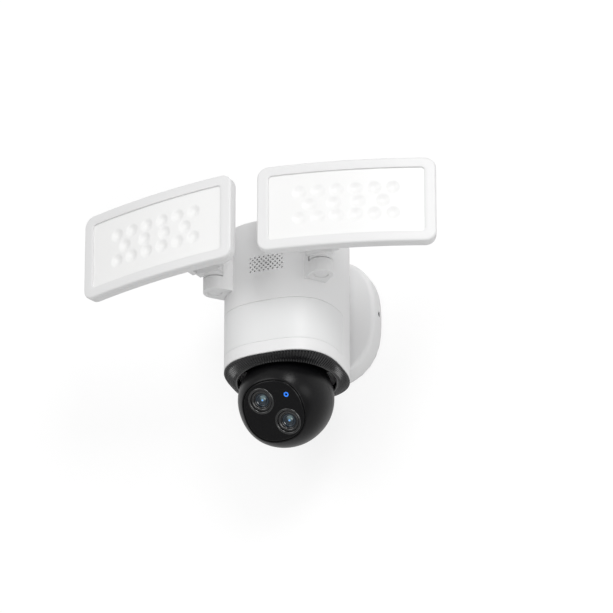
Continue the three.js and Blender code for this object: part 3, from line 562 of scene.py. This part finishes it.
ball = {"radius": 41.3 * mm, "wall": 2.5 * mm, "pan": math.radians(-5), "tilt": math.radians(41.5),
        "exponent": 2.3, "face": 27.6 * mm, "rim": 28.6 * mm, "faceHeight": 33.95 * mm, "split": 0.12 * mm,
        "columns": 160}
plate = {"gap": 0.15 * mm, "proud": 0.55 * mm, "thickness": 3 * mm, "round": 1.1 * mm, "crown": 0.5 * mm,
         "hole": 0.1 * mm}
stemSlot = {"start": -9, "end": 94, "steps": 24, "reach": 60 * mm, "half": 7 * mm}
# the lens's sheen value is the strength of the painted sheen glowing on its glass
lens = {"upper": (-8.6 * mm, 11 * mm), "lower": (10.2 * mm, -11.4 * mm), "bezel": 11.9 * mm, "sheen": 0.22}
light = {"place": (15.8 * mm, 12.3 * mm), "outer": 2.2 * mm, "inner": 1.15 * mm, "round": 0.12 * mm}


def onBall(points):
    # ball frame: the face looks along -Y; tilt about X, pan about Z, then move to the ball's centre
    x, y, z = np.moveaxis(np.asarray(points, float), -1, 0)
    ct, st = math.cos(ball["tilt"]), math.sin(ball["tilt"])
    cp, sp = math.cos(ball["pan"]), math.sin(ball["pan"])
    y, z = y * ct - z * st, y * st + z * ct
    x, y = x * cp - y * sp, x * sp + y * cp
    return np.stack([x, y, z], -1) + ballCentre


def ringAt(radius, depth, share, turns):
    # a ring round the face's axis, part of the way from a circle to the face's squarish outline
    xa, za = radius * np.cos(turns), radius * np.sin(turns)
    xb, zb = squareRing(radius, radius, ball["exponent"], turns)
    return np.stack([xa + (xb - xa) * share, np.full_like(xa, -depth), za + (zb - za) * share], -1)


def slotTool():
    # a pie-shaped prism where the stem passes as the ball tilts
    turns = np.radians(np.linspace(stemSlot["start"], stemSlot["end"], stemSlot["steps"]))
    reach, half = stemSlot["reach"], stemSlot["half"]
    edge = np.concatenate([[[0, 0]], np.stack([np.sin(turns), np.cos(turns)], -1) * reach])
    sides = [np.column_stack([np.full(len(edge), x), edge]) for x in (-half, half)]
    count = len(edge)
    faces = [[k, (k + 1) % count, count + (k + 1) % count, count + k] for k in range(count)]
    faces += [list(range(count)), list(range(count, 2 * count))]
    return newPiece("slotTool", onBall(np.concatenate(sides)), faces)


def ballFront():
    # the radius follows (r/R)^m + (h/H)^m = 1 up to the rim,
    # then a small round lip and the inside back to the equator
    m, face, rim, height = ball["exponent"], ball["face"], ball["rim"], ball["faceHeight"]
    turns = fullTurn(ball["columns"])
    endTurn = math.acos((rim / ball["radius"]) ** (m / 2))
    full = height / math.sin(endTurn) ** (2 / m)

    def shoulder(outer, peak):
        rings = []
        for share in np.linspace(0, 1, 26):
            swing = share * endTurn
            radius, rise = outer * math.cos(swing) ** (2 / m), peak * math.sin(swing) ** (2 / m)
            rings.append(ringAt(radius, ball["split"] + rise, share * share, turns))
        return rings

    lip = [ringAt(radius, height + rise, 1, turns)
           for radius, rise in ((rim - 0.35 * mm, 0.22 * mm), (rim - 0.8 * mm, 0.12 * mm), (face, -0.5 * mm),
                                (face, -3 * mm))]
    inside = shoulder(ball["radius"] - ball["wall"], full - ball["wall"])[::-1]
    rings = onBall(np.array(shoulder(ball["radius"], full) + lip + inside))
    piece = ringPiece("ballFront", rings, wrapRows=True, smoothAngle=40)
    cut(piece, [slotTool()])
    settle(piece, "camera_ball", "ballBlack", "ball_plastic", "ball_front_shell")


def ballRear():
    # half a sphere with a wall, cut by the stem's slot
    columns, turns = ball["columns"], fullTurn(ball["columns"])
    rise = np.linspace(0, np.pi / 2 * 0.995, 30)

    def half(radius):
        return [ringAt(radius * math.cos(t), -ball["split"] - radius * math.sin(t), 0, turns) for t in rise]

    points = np.array(half(ball["radius"]) + half(ball["radius"] - ball["wall"])[::-1])
    # the grid joins the two poles through the wall, so that band is left out and each pole is closed instead
    pole = (len(rise) - 1) * columns
    faces = [face for face in gridFaces(2 * len(rise), columns, wrapRows=True)
             if not pole <= face[0] < pole + columns]
    faces += [list(range(start, start + columns)) for start in (pole, pole + columns)]
    piece = newPiece("ballRear", onBall(points).reshape(-1, 3), faces, 40)
    cut(piece, [slotTool()])
    settle(piece, "camera_ball", "ballBlack", "ball_plastic", "ball_rear_shell")


def facePlate():
    # a barely crowned plate with a round rim, pierced for the two lenses
    turns = fullTurn(ball["columns"])
    reach, top = ball["face"] - plate["gap"], ball["faceHeight"] + plate["proud"]
    rings = [ringAt(radius, top - plate["thickness"], 1, turns) for radius in (0.5 * mm, reach * 0.5, reach)]
    rings += [ringAt(reach, top - 1.2 * mm, 1, turns)]
    rings += [ringAt(reach - inset, top - drop, 1, turns)
              for inset, drop in quarterRound(plate["round"], 7, np.pi / 2 - 0.1)]
    for share in (0.85, 0.7, 0.55, 0.4, 0.25, 0.1, 0.02):
        rings.append(ringAt(reach * share, top + plate["crown"] * (1 - share * share), 1, turns))
    piece = ringPiece("facePlate", onBall(np.array(rings)), smoothAngle=35)
    hole = lens["bezel"] - plate["hole"]
    drill = [(1 * mm, -20 * mm), (hole, -20 * mm), (hole, -50 * mm), (1 * mm, -50 * mm)]
    tools = [turnedPiece("lensTool", drill, lambda points, x=x, z=z: onBall(points + [x, 0, z]), 96)
             for x, z in (lens["upper"], lens["lower"])]
    cut(piece, tools)
    settle(piece, "camera_ball", "faceBlack", "face_plastic", "face_plate")


def paintLensReflections():
    # painted reflections put in as glow: a small blue painted glint right of each lens's middle and a wider
    # grey-green painted sheen above it
    material = finishes["lensGlass"]
    nodes, links = material.node_tree.nodes, material.node_tree.links
    depth = ball["faceHeight"] - 0.55 * mm
    spots = {}
    for spot, shift, inner, outer in (("glint", (0.7, 0.2), 0.45, 1.1), ("sheen", (1.9, 2.1), 1.2, 3.2)):
        paintedSpot = nodes.new("ShaderNodeGroup")
        paintedSpot.node_tree = groups["coating"]
        paintedSpot.inputs["Inner"].default_value, paintedSpot.inputs["Outer"].default_value = inner * mm, outer * mm
        for label, (x, z) in (("First", lens["upper"]), ("Second", lens["lower"])):
            paintedSpot.inputs[label].default_value = onBall([x + shift[0] * mm, -depth, z + shift[1] * mm])
        spots[spot] = paintedSpot
    shader = nodes["Principled BSDF"]
    tint, strength = nodes.new("ShaderNodeMix"), nodes.new("ShaderNodeMath")
    tint.data_type = "RGBA"
    tint.inputs["A"].default_value = (0.55, 0.80, 0.80, 1)
    tint.inputs["B"].default_value = (0.08, 0.35, 0.95, 1)
    strength.operation = "MULTIPLY_ADD"
    strength.inputs[1].default_value = lens["sheen"]
    links.new(spots["glint"].outputs["Glow"], tint.inputs["Factor"])
    links.new(tint.outputs["Result"], shader.inputs["Emission Color"])
    links.new(spots["sheen"].outputs["Glow"], strength.inputs[0])
    links.new(spots["glint"].outputs["Glow"], strength.inputs[2])
    links.new(strength.outputs[0], shader.inputs["Emission Strength"])


# paints the lenses' glint and sheen reflections into their glass as glow
paintLensReflections()


def lensSet(name, place):
    # bezel: raised rim, groove, inner ring and a cone down to the glass
    # glass: a ring and a dome; the profiles are in mm
    x, z = place
    front = ball["faceHeight"] + 0.6 * mm

    def at(pairs):
        return [(r * mm, -(front + h * mm)) for r, h in pairs]

    def where(points):
        return onBall(points + [x, 0, z])

    outer = lens["bezel"] / mm
    hump = [(outer - 1.1 + 1.1 * math.cos(t), 0.2 + 0.95 * math.sin(t))
            for t in np.linspace(0.1, np.pi - 0.25, 11)]
    cone = [(8.75 - 1.75 * math.sin(t), -0.3 - 1.6 * (1 - math.cos(t)))
            for t in np.linspace(0.15, np.pi / 2, 7)]
    bezel = at([(6.3, -5), (outer, -5)] + hump
               + [(outer - 2.3, -0.9), (9.4, -0.95), (9.3, -0.35), (9.05, -0.2)] + cone
               + [(6.8, -2.2), (6.3, -2.3)])
    rings = np.array([flatRing(radius, depth, 128) for radius, depth in bezel])
    piece = ringPiece("lensBezel_" + name, where(rings), wrapRows=True, smoothAngle=50)
    settle(piece, "camera_ball", "bezelBlack", "face_plastic", "lens_bezel_" + name)
    dome = [(4.1 * math.sin(t), -2.3 + 1.2 * math.cos(t)) for t in np.linspace(np.pi / 2, 0.03, 10)]
    glass = at([(0.2, -3.6), (6.2, -3.6), (6.2, -2.5), (5.9, -2.15), (5.3, -1.95), (4.7, -2.1), (4.35, -2.35)]
               + dome)
    settle(turnedPiece("lensGlass_" + name, glass, where, 96, 30), "camera_ball", "lensGlass", "lens_glass",
           "lens_glass_" + name)


def statusLight():
    # a light ring set a hair proud of the plate
    x, z = light["place"]
    outer, inner, soften = light["outer"], light["inner"], 0.15 * mm
    top = ball["faceHeight"] + 0.85 * mm
    crown, foot = top + light["round"], top - 3 * mm
    section = [(outer, foot), (outer, top), (outer - soften, crown), (inner + soften, crown), (inner, top),
               (inner, foot)]
    rings = np.array([flatRing(radius, -height, 64) for radius, height in section])
    piece = ringPiece("statusRing", onBall(rings + [x, 0, z]), wrapRows=True)
    settle(piece, "camera_ball", "statusBlue", "status_light", "status_led")


ballFront()
ballRear()
facePlate()
for name in ("upper", "lower"):
    lensSet(name, lens[name])
statusLight()
print("camera ball made")


# ---- flood lamps

lamp = {"across": 28.4 * mm, "forward": 54 * mm, "bend": 568 * mm, "halfWidth": 78.5 * mm, "corner": 10 * mm,
        "thickness": 12 * mm, "yaw": math.radians(13.25), "split": 4.2 * mm, "roundFront": 1.9 * mm,
        "roundBack": 3 * mm, "roundFrom": math.pi / 2 - 0.2, "marginSide": 10.3 * mm, "marginEdge": 9.5 * mm,
        "recess": 1.4 * mm, "lip": 1.2 * mm, "seam": 0.15 * mm, "wall": 2.2 * mm, "floor": 2 * mm,
        "arcSteps": 10, "sideSteps": (30, 14)}
pane = {"under": 1.3 * mm, "back": 3.9 * mm, "columns": 240, "rows": 112}
# each row of cups: its place up or down, how many, and their pitch
dimple = {"radius": 6.6 * mm, "depth": 1.9 * mm, "rise": 12.5 * mm,
          "rows": ((1, 6, 16.3 * mm), (0, 4, 21.3 * mm), (-1, 6, 16.3 * mm))}
mounts = {"arm": ("housing", 0.7 * mm), "arm_cap": ("housing", 0.35 * mm), "turret": ("turret", 0.8 * mm),
          "lamp_bracket": ("lamp", 0.9 * mm)}
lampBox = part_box("lamp_bezel_right")
lampHeight, lampHalfHeight = (lampBox[0][2] + lampBox[1][2]) / 2, (lampBox[1][2] - lampBox[0][2]) / 2


def onLamp(side):
    # returns a function from the lamp's flat frame (along, up, depth behind the front) into the scene
    pivot = np.array(joints[side + "_lamp_swivel"]["pos_m"])
    mirror = 1 if side == "right" else -1

    def place(points):
        along, up, depth = np.moveaxis(np.asarray(points, float), -1, 0)
        turn, reach = along / lamp["bend"], lamp["bend"] - depth
        x = lamp["across"] + reach * np.sin(turn)
        y = lamp["bend"] - lamp["forward"] - reach * np.cos(turn)
        cy, sy = math.cos(lamp["yaw"]), math.sin(lamp["yaw"])
        across, back = mirror * (x * cy - y * sy), x * sy + y * cy
        return np.stack([across + pivot[0], back + pivot[1], up + lampHeight], -1)

    return place


def roundedRing(halfA, halfB, corner):
    # a rectangle with round corners: four arcs joined by evenly stepped sides
    arcs = []
    for quarter, (sx, sz) in enumerate(((1, 1), (-1, 1), (-1, -1), (1, -1))):
        turns = np.linspace(quarter, quarter + 1, lamp["arcSteps"] + 1) * np.pi / 2
        x = sx * (halfA - corner) + corner * np.cos(turns)
        z = sz * (halfB - corner) + corner * np.sin(turns)
        arcs.append(np.stack([x, z], -1))
    run = []
    for k, arc in enumerate(arcs):
        onward = arcs[(k + 1) % 4][0]
        shares = np.linspace(0, 1, lamp["sideSteps"][k % 2] + 2)[1:-1, None]
        run += [arc, arc[-1] + (onward - arc[-1]) * shares]
    return np.concatenate(run)


def lampRing(insetA, insetB, corner, depth):
    flat = roundedRing(lamp["halfWidth"] - insetA, lampHalfHeight - insetB, corner)
    return np.column_stack([flat, np.full(len(flat), depth)])


def lampBezel(side):
    # closed loop of rings: side wall, round front edge, face, lip over the diffuser, back
    r, corner, split, lip = lamp["roundFront"], lamp["corner"], lamp["split"] - lamp["seam"], lamp["lip"]
    a, b = lamp["marginSide"], lamp["marginEdge"]
    specs = [(0, 0, corner, split), (0, 0, corner, r)]
    specs += [(inset, inset, corner - inset, drop) for inset, drop in quarterRound(r, 6, lamp["roundFrom"])]
    specs += [(4 * mm, 4 * mm, 7 * mm, 0), (7 * mm, 6.6 * mm, 5 * mm, 0),
              (a - 0.5 * mm, b - 0.5 * mm, 3.4 * mm, 0), (a - 0.15 * mm, b - 0.15 * mm, 3.1 * mm, 0.12 * mm),
              (a, b, 3 * mm, 0.45 * mm), (a, b, 3 * mm, lip), (a - 3.4 * mm, b - 3.4 * mm, 4 * mm, lip),
              (a - 3.4 * mm, b - 3.4 * mm, 4 * mm, split)]
    rings = onLamp(side)(np.array([lampRing(*spec) for spec in specs]))
    piece = ringPiece("lampBezel_" + side, rings, wrapRows=True, smoothAngle=40)
    settle(piece, side + "_lamp", "lampShell", "white_plastic", "lamp_bezel_" + side)


def lampHousing(side):
    # a tray: inner floor, inner wall, rim, outer wall, round back edge, back
    r, corner, rim, deep = lamp["roundBack"], lamp["corner"], lamp["split"] + lamp["seam"], lamp["thickness"]
    wall, floor, edge = lamp["wall"], lamp["thickness"] - lamp["floor"], 0.25 * mm

    def shrunk(share, depth):
        # the outline at a share of its full size
        insetA, insetB = lamp["halfWidth"] * (1 - share), lampHalfHeight * (1 - share)
        return insetA, insetB, max(corner * share, 0.2 * mm), depth

    specs = [shrunk(share, floor) for share in (0.02, 0.3, 0.6)]
    specs += [(wall, wall, corner - wall, floor), (wall, wall, corner - wall, rim),
              (edge, edge, corner - edge, rim), (0, 0, corner, rim + edge), (0, 0, corner, deep - r)]
    specs += [(inset, inset, corner - inset, deep - drop)
              for inset, drop in quarterRound(r, 7, lamp["roundFrom"])]
    specs += [shrunk(share, deep) for share in (0.85, 0.6, 0.4, 0.2, 0.02)]
    rings = onLamp(side)(np.array([lampRing(*spec) for spec in specs]))
    piece = ringPiece("lampHousing_" + side, rings, smoothAngle=40)
    settle(piece, side + "_lamp", "lampShell", "white_plastic", "lamp_housing_" + side)


def lampDiffuser(side):
    # a thin pane whose front dips into sixteen shallow cups: depth falls as (1 - (r/R)^2)^1.5
    halfA = lamp["halfWidth"] - lamp["marginSide"] + pane["under"]
    halfB = lampHalfHeight - lamp["marginEdge"] + pane["under"]
    columns, rows = pane["columns"], pane["rows"]
    across, rise = np.linspace(-halfA, halfA, columns), np.linspace(-halfB, halfB, rows)
    along, up = np.meshgrid(across, rise, indexing="ij")
    depth = np.full_like(along, lamp["recess"])
    for row, count, pitch in dimple["rows"]:
        for k in range(count):
            middle = (k - (count - 1) / 2) * pitch
            away = np.hypot(along - middle, up - row * dimple["rise"]) / dimple["radius"]
            depth += dimple["depth"] * np.clip(1 - away ** 2, 0, None) ** 1.5
    front = np.stack([along, up, depth], -1).reshape(-1, 3)
    behind = np.array([[x, z, pane["back"]] for x in across for z in (-halfB, halfB)])
    i, j = np.meshgrid(np.arange(columns - 1), np.arange(rows - 1), indexing="ij")
    cell = i * rows + j
    faces = np.stack([cell, cell + 1, cell + rows + 1, cell + rows], -1).reshape(-1, 4).tolist()
    start = columns * rows
    for k in range(columns - 1):
        low, high = start + 2 * k, start + 2 * k + 1
        faces += [[low, low + 2, high + 2, high], [k * rows, (k + 1) * rows, low + 2, low],
                  [k * rows + rows - 1, (k + 1) * rows + rows - 1, high + 2, high]]
    last = start + 2 * columns - 2
    faces.append(list(range(rows)) + [start + 1, start])
    faces.append(list(range(start - rows, start)) + [last + 1, last])
    piece = newPiece("lampDiffuser_" + side, onLamp(side)(np.concatenate([front, behind])), faces, 60)
    settle(piece, side + "_lamp", "frostedPane", "diffuser_plastic", "diffuser_" + side)


def lampMount(side):
    # the arm, its cap, the turret and the lamp's bracket and pin, each with rounded edges
    for node, (carrier, rounding) in mounts.items():
        rides = carrier if carrier == "housing" else side + "_" + carrier
        settle(softened(node + "_" + side, rounding), rides, "whiteShell", "white_plastic", node + "_" + side)
    settle(softened("tilt_pin_" + side, 0.4 * mm), side + "_lamp", "zincSteel", "steel", "tilt_pin_" + side)


for side in ("right", "left"):
    lampBezel(side)
    lampHousing(side)
    lampDiffuser(side)
    lampMount(side)
print("lamps and arms made")


# ---- wall, floor, camera and lights

studio = {"wallPlace": 0.5 * mm, "wallGlow": 0.765, "wallBounce": 0.45, "wallShade": 0.25, "floorShade": 0.5,
          "floorHeight": -3.0, "span": 12.0, "sky": 0.60, "target": (0, -0.09, -0.01)}
# each light's place in metres, the width of its disk, and its power in watts
lights = {"keyLight": ((-1.3, -2.5, 0.5), 1.6, 13), "sideLight": ((1.15, -2.1, 1.1), 1.0, 17),
          "rightFill": ((2.5, -0.9, 0.0), 1.2, 5), "lowFill": ((0.9, -2.0, -1.5), 1.2, 15)}
view = {"azimuth": math.radians(20.8), "elevation": math.radians(-26.7), "focal": 352.36, "sensor": 36,
        "standOff": 5.22, "aimRight": 16.965 * mm, "aimUp": 80.475 * mm, "farEnd": 50}


def wallPaint(nodes, links, shader):
    # the camera sees a brighter wall than the one that lights the part, and none at all from behind
    path, level = nodes.new("ShaderNodeLightPath"), nodes.new("ShaderNodeMix")
    level.inputs["A"].default_value = studio["wallBounce"]
    level.inputs["B"].default_value = studio["wallGlow"]
    links.new(path.outputs["Is Camera Ray"], level.inputs["Factor"])
    links.new(level.outputs["Result"], shader.inputs["Emission Strength"])
    clear, mix = nodes.new("ShaderNodeBsdfTransparent"), nodes.new("ShaderNodeMixShader")
    geometry = nodes.new("ShaderNodeNewGeometry")
    links.new(geometry.outputs["Backfacing"], mix.inputs[0])
    links.new(shader.outputs[0], mix.inputs[1])
    links.new(clear.outputs[0], mix.inputs[2])
    links.new(mix.outputs[0], nodes["Material Output"].inputs["Surface"])


def stagePlane(name, corners, shade, wall=False):
    mesh = bpy.data.meshes.new(name)
    mesh.from_pydata(corners, [], [[0, 1, 2, 3]])
    plane = bpy.data.objects.new(name, mesh)
    bpy.context.scene.collection.objects.link(plane)
    material = bpy.data.materials.new(name + "Paint")
    material.use_nodes = True
    nodes, links = material.node_tree.nodes, material.node_tree.links
    shader = nodes["Principled BSDF"]
    shader.inputs["Base Color"].default_value = (shade, shade, shade, 1)
    shader.inputs["Roughness"].default_value = 0.9
    shader.inputs["Emission Color"].default_value = (1, 1, 1, 1)
    shader.inputs["Emission Strength"].default_value = 0.0
    if wall:
        wallPaint(nodes, links, shader)
    mesh.materials.append(material)


def areaLight(name, place, size, power):
    # a round lamp turned towards the middle of the part
    source = bpy.data.lights.new(name, "AREA")
    source.shape = "DISK"
    source.size = size
    source.energy = power
    thing = bpy.data.objects.new(name, source)
    away = Vector(studio["target"]) - Vector(place)
    thing.rotation_euler = away.to_track_quat("-Z", "Y").to_euler()
    thing.location = place
    bpy.context.scene.collection.objects.link(thing)


def studioSet():
    span, floor, y = studio["span"], studio["floorHeight"], studio["wallPlace"]
    wall = [(-span, y, floor), (span, y, floor), (span, y, span), (-span, y, span)]
    ground = [(-span, -span, floor), (span, -span, floor), (span, span, floor), (-span, span, floor)]
    stagePlane("wallStage", wall, studio["wallShade"], True)
    stagePlane("floorStage", ground, studio["floorShade"])
    world = bpy.data.worlds.new("studioWorld")
    world.use_nodes = True
    world.node_tree.nodes["Background"].inputs["Color"].default_value = (1, 1, 1, 1)
    world.node_tree.nodes["Background"].inputs["Strength"].default_value = studio["sky"]
    bpy.context.scene.world = world
    for name, (place, size, power) in lights.items():
        areaLight(name, place, size, power)


def frontCamera():
    # looks up at the unit from the viewer's right; the axes are worked out from azimuth and elevation
    ca, sa = math.cos(view["azimuth"]), math.sin(view["azimuth"])
    ce, se = math.cos(view["elevation"]), math.sin(view["elevation"])
    right = np.array([ca, sa, 0])
    ahead = np.array([-sa * ce, ca * ce, -se])
    up = np.cross(right, ahead)
    aim = ballCentre + view["aimRight"] * right + view["aimUp"] * up
    camera = bpy.data.cameras.new("frontCamera")
    camera.lens = view["focal"]
    camera.sensor_width = view["sensor"]
    camera.clip_end = view["farEnd"]
    thing = bpy.data.objects.new("frontCamera", camera)
    stand = aim - ahead * view["standOff"]
    rows = np.eye(4)
    rows[:3] = np.column_stack([right, up, -ahead, stand])
    thing.matrix_world = Matrix(rows.tolist())
    bpy.context.scene.collection.objects.link(thing)
    bpy.context.scene.camera = thing


studioSet()
frontCamera()
bpy.context.scene.view_settings.view_transform = "Standard"
print("studio set")
